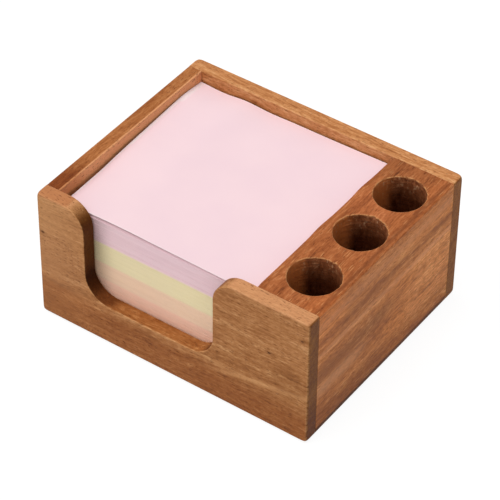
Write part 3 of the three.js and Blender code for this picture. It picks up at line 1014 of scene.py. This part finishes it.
def turned(name, profile, sides, material, axis="Z", flutes=0.0):
    """A lathe-turned item at the origin. profile is (radius, height); flutes groove every second side."""
    vertices = [(0.0, 0.0, profile[0][1])]
    for radius, height in profile:
        for k in range(sides):
            angle = 2 * math.pi * k / sides
            r = radius - (flutes if k % 2 else 0.0)
            vertices.append((r * math.cos(angle), r * math.sin(angle), height))
    vertices.append((0.0, 0.0, profile[-1][1]))
    last = len(vertices) - 1
    faces = []
    for k in range(sides):
        n = (k + 1) % sides
        faces.append((0, 1 + n, 1 + k))
        faces.append((last, last - sides + k, last - sides + n))
        for row in range(len(profile) - 1):
            a = 1 + row * sides
            faces.append((a + k, a + n, a + sides + n, a + sides + k))
    if axis == "Y":
        vertices = [(x, -z, y) for x, y, z in vertices]
    return new_piece(name, vertices, faces, material)


# %% Fluted dowels
FULL_TURN, FLUTE_DEPTH = 2 * math.pi, 0.11
TIP = ((0.5, 0), (0.12, 0.3), (0, 0.6))
half = dowel_length / 2
tip = [(dowel_radius - narrower, half - lower) for narrower, lower in TIP]
dowel_profile = [(radius, -height) for radius, height in tip] + tip[::-1]
dowel = turned("dowel", dowel_profile, 36, dowel_wood, axis="Y", flutes=FLUTE_DEPTH)
dowels = set_copies("fluted_dowels", dowel_places, dowel, dowel_wood, (0, FULL_TURN, 0), seed=5)
print(dowels.name, len(dowels.data.polygons), "faces")

# %% [markdown]
# The feet are punched from soft rubber sheet, so they are flat discs with a slightly swollen side. The
# rubber is matt and charcoal, with a fine grain from the mould.


# %% Rubber feet
def rubber(name):
    """Matt charcoal rubber with a fine grain."""
    material, tree = blank_material(name)
    place = add(tree, "ShaderNodeTexCoord").outputs["Object"]
    grain = noise_of(tree, place, 2600.0, 3.0, 0.6)
    cloud = noise_of(tree, place, 300.0, 2.0, 0.5)
    colour = ramp(tree, cloud, [(0.3, shade(46, 44, 43)), (0.7, shade(62, 60, 58))])
    return surfaced(material, colour, fade(tree, grain, 0.3, 0.7, 0.72, 0.86), grain, relief=(0.3, 0.05))


SWELL, SWELL_STEPS = 0.42, 6
rubber_material = rubber("foot_rubber")
foot_boxes = [box_mm(node) for node in nodes_called("foot_")]
foot_places = [((low.x + high.x) / 2, (low.y + high.y) / 2, low.z) for low, high in foot_boxes]
foot_size = foot_boxes[0][1] - foot_boxes[0][0]
foot_radius, foot_height = foot_size.x / 2, foot_size.z
foot_profile = [(foot_radius * 0.45, 0.0), (foot_radius - SWELL, 0.0)]
for step in range(1, SWELL_STEPS + 1):
    angle = math.pi / 2 * step / SWELL_STEPS
    foot_profile.append((foot_radius - SWELL + SWELL * math.sin(angle), SWELL * (1 - math.cos(angle))))
foot_profile += [(foot_radius, foot_height - 0.15), (foot_radius - 0.1, foot_height)]
foot = turned("foot", foot_profile, 48, rubber_material)
feet = set_copies("anti_slip_feet", foot_places, foot, rubber_material, (0, 0, FULL_TURN), seed=9)
smooth(feet, angle=50)
print(feet.name, len(feet.data.polygons), "faces")

# %% [markdown]
# ## The notes
# A pad of notes is a pile of thin leaves, glued along one edge. One solid block would have sides as smooth
# as plastic. A Geometry Nodes tree piles leaves on a line instead, one instance for each leaf, and shifts
# every leaf by a few hundredths of a millimetre with a seeded random value, which gives the sides their
# fine lines.


# %% Paper
CHEEK_SHADOW_TONE = (0.26, 0.22, 0.18, 1)
LEAF_RIM_HIGHLIGHT_TONE = (0.99, 0.93, 0.93, 1)
CHEEK_SHADOW_REACH, CHEEK_SHADOW_STRENGTH = 8, 0.45


def paper(name, colour, above=None, below=None, low=0.0, high=1.0, soft=0.0, pile=True):
    """Matt note paper. On a pile the standing sides show fine lines, the colour drifts to the neighbour's
    near the top and the bottom, and beside the notch's left cheek a soft shadow of the cheek is painted
    on the front of the leaf edges. Where a rim is marked, a highlight is painted along it."""
    material, tree = blank_material(name)
    in_mm, facing = in_millimetres(tree)
    height = part_of(tree, in_mm, "Z")
    standing = fade(tree, sum_up(tree, "ABSOLUTE", part_of(tree, facing, "Z")), 0.7, 0.3)
    cloud = noise_of(tree, in_mm, 0.05, 2.0, 0.5)
    tone = ramp(tree, cloud, [(0.35, (0.975, 0.97, 0.985, 1)), (0.65, WHITE)])
    painted = tint(tree, 1.0, tone, colour, "MULTIPLY")
    for neighbour, start, end in ((above, high - soft, high + soft), (below, low + soft, low - soft)):
        if neighbour:
            amount = sum_up(tree, "MULTIPLY", standing, fade(tree, height, start, end))
            painted = tint(tree, amount, painted, neighbour)
    if pile:
        leaves = noise_of(tree, in_mm, 1.0, 3.0, 0.7, (0.02, 0.02, 3.4))
        lines = ramp(tree, leaves, [(0.3, (0.93, 0.93, 0.93, 1)), (0.62, WHITE)])
        painted = tint(tree, standing, painted, tint(tree, 1.0, painted, lines, "MULTIPLY"))
        # A painted shadow of the notch's left cheek, on the front of the leaves beside it
        across = part_of(tree, in_mm, "X")
        beside = fade(tree, across, NOTCH_LEFT - 6, NOTCH_LEFT - 1)
        beside = sum_up(tree, "MULTIPLY", beside, fade(tree, part_of(tree, facing, "Y"), -0.3, -0.7))
        fading = fade(tree, across, NOTCH_LEFT + CHEEK_SHADOW_REACH, NOTCH_LEFT - 1.5, 0.0, CHEEK_SHADOW_STRENGTH)
        cheek_shadow = sum_up(tree, "MULTIPLY", beside, fading)
        painted = tint(tree, cheek_shadow, painted, CHEEK_SHADOW_TONE, "MULTIPLY")
    # A highlight is painted along a leaf's marked rim
    rim = add(tree, "ShaderNodeAttribute", attribute_name="edge").outputs["Fac"]
    painted = tint(tree, sum_up(tree, "MULTIPLY", rim, 0.6), painted, LEAF_RIM_HIGHLIGHT_TONE)
    fibres = noise_of(tree, in_mm, 5.0, 3.0, 0.6)
    gloss = fade(tree, fibres, 0.3, 0.7, 0.82, 0.92)
    return surfaced(material, painted, gloss, fibres, relief=(0.12, 0.02), shine=0.2)


PINK = (0.93, 0.70, 0.735, 1)
YELLOW = (0.93, 0.82, 0.54, 1)
PEACH = (0.96, 0.71, 0.52, 1)
CORAL = (0.99, 0.655, 0.5, 1)
BLUE = (0.55, 0.72, 0.86, 1)
PAPERS = {"blue": BLUE, "coral": CORAL, "peach": PEACH, "yellow": YELLOW, "pink": PINK}
ORDER = list(PAPERS)
print("papers from the lowest up:", ORDER)


# %% A tree that piles leaves
def pile_tree():
    """Geometry Nodes tree that piles leaves upward from the first one's place, each shifted a little."""
    inputs = {
        "Leaf Size": "Vector", "Leaf Count": "Int", "First Leaf": "Vector", "Pitch": "Vector",
        "Shift": "Vector", "Shift Seed": "Int",
    }
    tree, given, known = open_tree("pile_of_leaves", inputs)
    places = {"Count": given["Leaf Count"], "Start Location": given["First Leaf"], "Offset": given["Pitch"]}
    line = add(tree, "GeometryNodeMeshLine", places, mode="OFFSET").outputs[0]
    back = vector(tree, "MULTIPLY", given["Shift"], (-1, -1, -1))
    limits = {0: back, 1: given["Shift"], "Seed": given["Shift Seed"]}
    shift = add(tree, "FunctionNodeRandomValue", limits, data_type="FLOAT_VECTOR").outputs[0]
    moved = add(tree, "GeometryNodeSetPosition", {"Geometry": line, "Offset": shift}).outputs[0]
    leaf = add(tree, "GeometryNodeMeshCube", {"Size": given["Leaf Size"]}).outputs[0]
    close_tree(tree, given, moved, leaf)
    return tree, known


PILE, PILE_INPUTS = pile_tree()
print("pile inputs:", list(PILE_INPUTS))


# %% The pads
LEAF, LEAF_BODY = 0.1, 0.094
LOOSE_LEAVES = 12
TRIM, SHIFT = Vector((0.5, 0.1, 0)), Vector((0.05, 0.05, 0))
BLUR, FIRST_SEED = 0.7, 20


def pad(name, node, material, seed, leave_off):
    """A pad of leaves in the room of a node, less some leaves at the top."""
    low, high = box_mm(node)
    count = round((high.z - low.z) / LEAF) - leave_off
    piece = new_piece(name, [(0, 0, 0)], [], material)
    settings = {
        "Leaf Size": Vector((high.x - low.x - TRIM.x, high.y - low.y - TRIM.y, LEAF_BODY)) * MM,
        "Leaf Count": count,
        "First Leaf": Vector(((low.x + high.x) / 2, (low.y + high.y) / 2, low.z + LEAF / 2)) * MM,
        "Pitch": Vector((0, 0, LEAF)) * MM,
        "Shift": SHIFT * MM,
        "Shift Seed": seed,
    }
    run_tree(piece, PILE, PILE_INPUTS, settings, material)
    print(name, count, "leaves,", len(piece.data.polygons), "faces")
    return piece


pads = {}
for number, name in enumerate(ORDER):
    node = name + "_note_pad"
    low, high = box_mm(node)
    above = PAPERS[ORDER[number + 1]] if name != "pink" else None
    below = PAPERS[ORDER[number - 1]] if number else None
    material = paper(name + "_paper", PAPERS[name], above, below, low.z, high.z, BLUR)
    leave_off = LOOSE_LEAVES if name == "pink" else 0
    pads[name] = pad(name + "_leaves", node, material, FIRST_SEED + number, leave_off)

# %% [markdown]
# The uppermost leaves no longer lie flat: they are lifted into a slow wave, highest towards the back, and
# at the front edge thin dark lines show between them. A leaf is a fine grid with its height taken from a
# smooth rule, doubled for its lower face and closed round the rim. Cloth simulation would crumple it; paper
# bends in one smooth sweep.


# %% Wavy leaves
LIFT_LEFT = [0.05, 0.00, 0.00, 0.50, 0.83, 1.05, 1.38, 1.45, 0.45]
LIFT_RIGHT = [0.00, 0.20, 0.35, 0.42, 0.60, 0.50, 0.60, 0.90, 1.20]
LIFT_FRONT = [0.05, 0.45, 0.70, 0.70, 0.50, 0.40, 0.25, 0.10, 0.00]
LIFT_BACK = [0.45, 0.05, 0.84, 0.38, 0.58, 0.68, 0.80, 1.00, 1.20]
DRAWN_LEFT, DRAWN_RIGHT, SPREAD_LEFT, SPREAD_RIGHT = 0.45, 0.5, 1.2, 0.2
RIM_SHARES = [0.0, 0.004, 0.01]


def along(values, t):
    """A smooth curve through evenly spaced values, at t from 0 to 1."""
    place = min(max(t, 0.0), 1.0) * (len(values) - 1)
    k = min(int(place), len(values) - 2)
    f = place - k
    before, a, b = values[max(k - 1, 0)], values[k], values[k + 1]
    after = values[min(k + 2, len(values) - 1)]
    bend = 2 * before - 5 * a + 4 * b - after
    twist = 3 * (a - b) + after - before
    return a + 0.5 * f * (b - before + f * (bend + f * twist))


def lift(u, v):
    """How far the top leaf stands off the pad, in millimetres, u across and v from front to back."""
    sides = (1 - u) * along(LIFT_LEFT, v) + u * along(LIFT_RIGHT, v)
    ends = (1 - v) * along(LIFT_FRONT, u) + v * along(LIFT_BACK, u)
    corners = (
        (1 - u) * (1 - v) * LIFT_LEFT[0] + u * (1 - v) * LIFT_RIGHT[0]
        + (1 - u) * v * LIFT_LEFT[-1] + u * v * LIFT_RIGHT[-1]
    )
    return max(0.0, sides + ends - corners)


def wavy_leaf(base, height, low, high, cells):
    """Points and faces of a leaf whose underside is at base and rises by height times lift. Its front
    corners are drawn in a little, because the leaves lie fanned, and two rows of narrow cells follow its
    rim."""
    vertices, faces = [], []
    wide = cells - 2 * (len(RIM_SHARES) - 1)
    shares = RIM_SHARES + [k / wide for k in range(1, wide)] + [1 - share for share in reversed(RIM_SHARES)]
    cells = len(shares) - 1
    side = cells + 1
    for thickness in (0.0, LEAF_BODY):
        for v in shares:
            for u in shares:
                z = base + height * lift(u, v) + thickness
                x0, x1 = low.x + DRAWN_LEFT - SPREAD_LEFT * v, high.x - DRAWN_RIGHT + SPREAD_RIGHT * v
                vertices.append((x0 + u * (x1 - x0), low.y + v * (high.y - low.y), z))
    top = side * side
    for j in range(cells):
        for i in range(cells):
            a = j * side + i
            faces.append((a, a + side, a + side + 1, a + 1))
            faces.append((top + a, top + a + 1, top + a + side + 1, top + a + side))
    rim = list(range(side)) + [j * side + cells for j in range(1, side)]
    rim += [cells * side + i for i in range(cells - 1, -1, -1)]
    rim += [j * side for j in range(cells - 1, 0, -1)]
    for a, b in zip(rim, rim[1:] + rim[:1]):
        faces.append((a, b, top + b, top + a))
    return vertices, faces


# %% The lifted leaves of the pink pad
# Each one's place, counted in leaves, its share of the lift, and how far back it lies
LIFTED = [(k, 0.05, 0.0) for k in range(5)] + [(k + 0.8, 0.2, 0.25) for k in range(5, 8)]
pink_low, pink_high = box_mm("pink_note_pad")
lifted_points, lifted_faces = [], []
drift = random.Random(4)
for number, height, back in LIFTED:
    base = pink_high.z - LEAF * (LOOSE_LEAVES - number)
    corner = Vector((drift.uniform(-0.08, 0.08), drift.uniform(-0.04, 0.06) + back, 0))
    points, faces = wavy_leaf(base, height, pink_low + corner, pink_high + corner, cells=24)
    lifted_faces += [tuple(k + len(lifted_points) for k in face) for face in faces]
    lifted_points += points
lifted = new_piece("lifted_leaves", lifted_points, lifted_faces, pads["pink"].data.materials[0])
joined = bmesh.new()
joined.from_mesh(pads["pink"].data)
joined.from_mesh(lifted.data)
joined.to_mesh(pads["pink"].data)
joined.free()
bpy.data.objects.remove(lifted)
print("pink pad with lifted leaves:", len(pads["pink"].data.polygons), "faces")

# %% The top leaf
LEAF_HIGHLIGHT_WIDTH, SPARE = 0.2, 0.01
top_low, top_high = box_mm("top_note")
points, faces = wavy_leaf(top_low.z, 1.0, top_low, top_high, cells=68)
top_leaf = new_piece("wavy_top_leaf", points, faces, paper("top_leaf_paper", PINK, pile=False))
left_edge, right_edge = top_low.x + DRAWN_LEFT + SPARE, top_high.x - DRAWN_RIGHT - SPARE
# The top leaf's rim is marked for a painted highlight
insides = [
    min(x - left_edge, right_edge - x, y - top_low.y, top_high.y - y)
    for x, y, _ in (vertex.co / MM for vertex in top_leaf.data.vertices)
]
mark_edges(top_leaf, [1.0 if inside < LEAF_HIGHLIGHT_WIDTH else 0.0 for inside in insides])
top_leaf.data.polygons.foreach_set("use_smooth", [True] * len(top_leaf.data.polygons))
top_leaf.data.set_sharp_from_angle(angle=math.radians(40))
print("top leaf:", len(top_leaf.data.polygons), "faces")

# %% [markdown]
# ## The base board and the backing card
# These two keep their measured shapes, because flat boards are right as they are. They only need a finish:
# the base board is acacia like the rest, and the backing card is pressed grey board with flecks of pulp.


# %% Grey card
def grey_card(name):
    """Pressed grey card with long pulp fibres and dark flecks."""
    material, tree = blank_material(name)
    place = add(tree, "ShaderNodeTexCoord").outputs["Object"]
    pulp = noise_of(tree, place, 420.0, 4.0, 0.6)
    fleck = add(tree, "ShaderNodeTexVoronoi", {"Vector": place, "Scale": 900.0}).outputs["Distance"]
    colour = ramp(tree, pulp, [(0.3, shade(158, 150, 138)), (0.7, shade(188, 180, 168))])
    colour = tint(tree, fade(tree, fleck, 0.16, 0.06, 0.0, 0.5), colour, shade(96, 88, 78))
    return surfaced(material, colour, fade(tree, pulp, 0.3, 0.7, 0.85, 0.95), pulp, relief=(0.2, 0.04))


def dress(node, material):
    """Gives a kept node its finish through its object's material slots."""
    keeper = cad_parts[node]
    if not keeper.material_slots:
        keeper.data.materials.append(material)
    for slot in keeper.material_slots:
        slot.material = material


dress("base_board", base_wood)
dress("backing_card", grey_card("grey_card"))
print("dressed: base_board, backing_card")

# %% [markdown]
# ## Handing the pieces to the frame
# Every piece is told which body it rides on and which measured nodes it stands for; its finish is listed
# too.
# The wooden case is one body, each pad can be lifted out by itself, and the top leaf peels off. That leaf
# is stuck along its back edge. Turned like a stiff door it would cut into the back board, and paper bends
# instead. So its back edge follows the pad, the rest follows the peeling leaf, and a short stretch bends
# between them.

# %% Bodies, nodes and finishes
riders = [
    (front_board, "holder", ["front_board"], "acacia_front"),
    (back_board, "holder", ["back_board"], "acacia_back"),
    (left_board, "holder", ["left_board"], "acacia_side"),
    (pen_block, "holder", ["pen_block"], "acacia_block"),
    (dowels, "holder", nodes_called("dowel_"), "dowel_wood"),
    (feet, "holder", nodes_called("foot_"), "foot_rubber"),
    (top_leaf, "top_leaf", ["top_note"], "paper_pink"),
]
riders += [(pads[name], name + "_pad", [name + "_note_pad"], "paper_" + name) for name in ORDER]
GLUED_TO, BEND = "pink_pad", 10
for piece, body, nodes, finish in riders:
    if piece is top_leaf:
        glue_line = Vector((0, top_high.y, top_low.z)) * MM
        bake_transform(piece, GLUED_TO, body, start=glue_line, end=glue_line - Vector((0, BEND, 0)) * MM)
    else:
        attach(piece, body)
    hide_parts(*nodes)
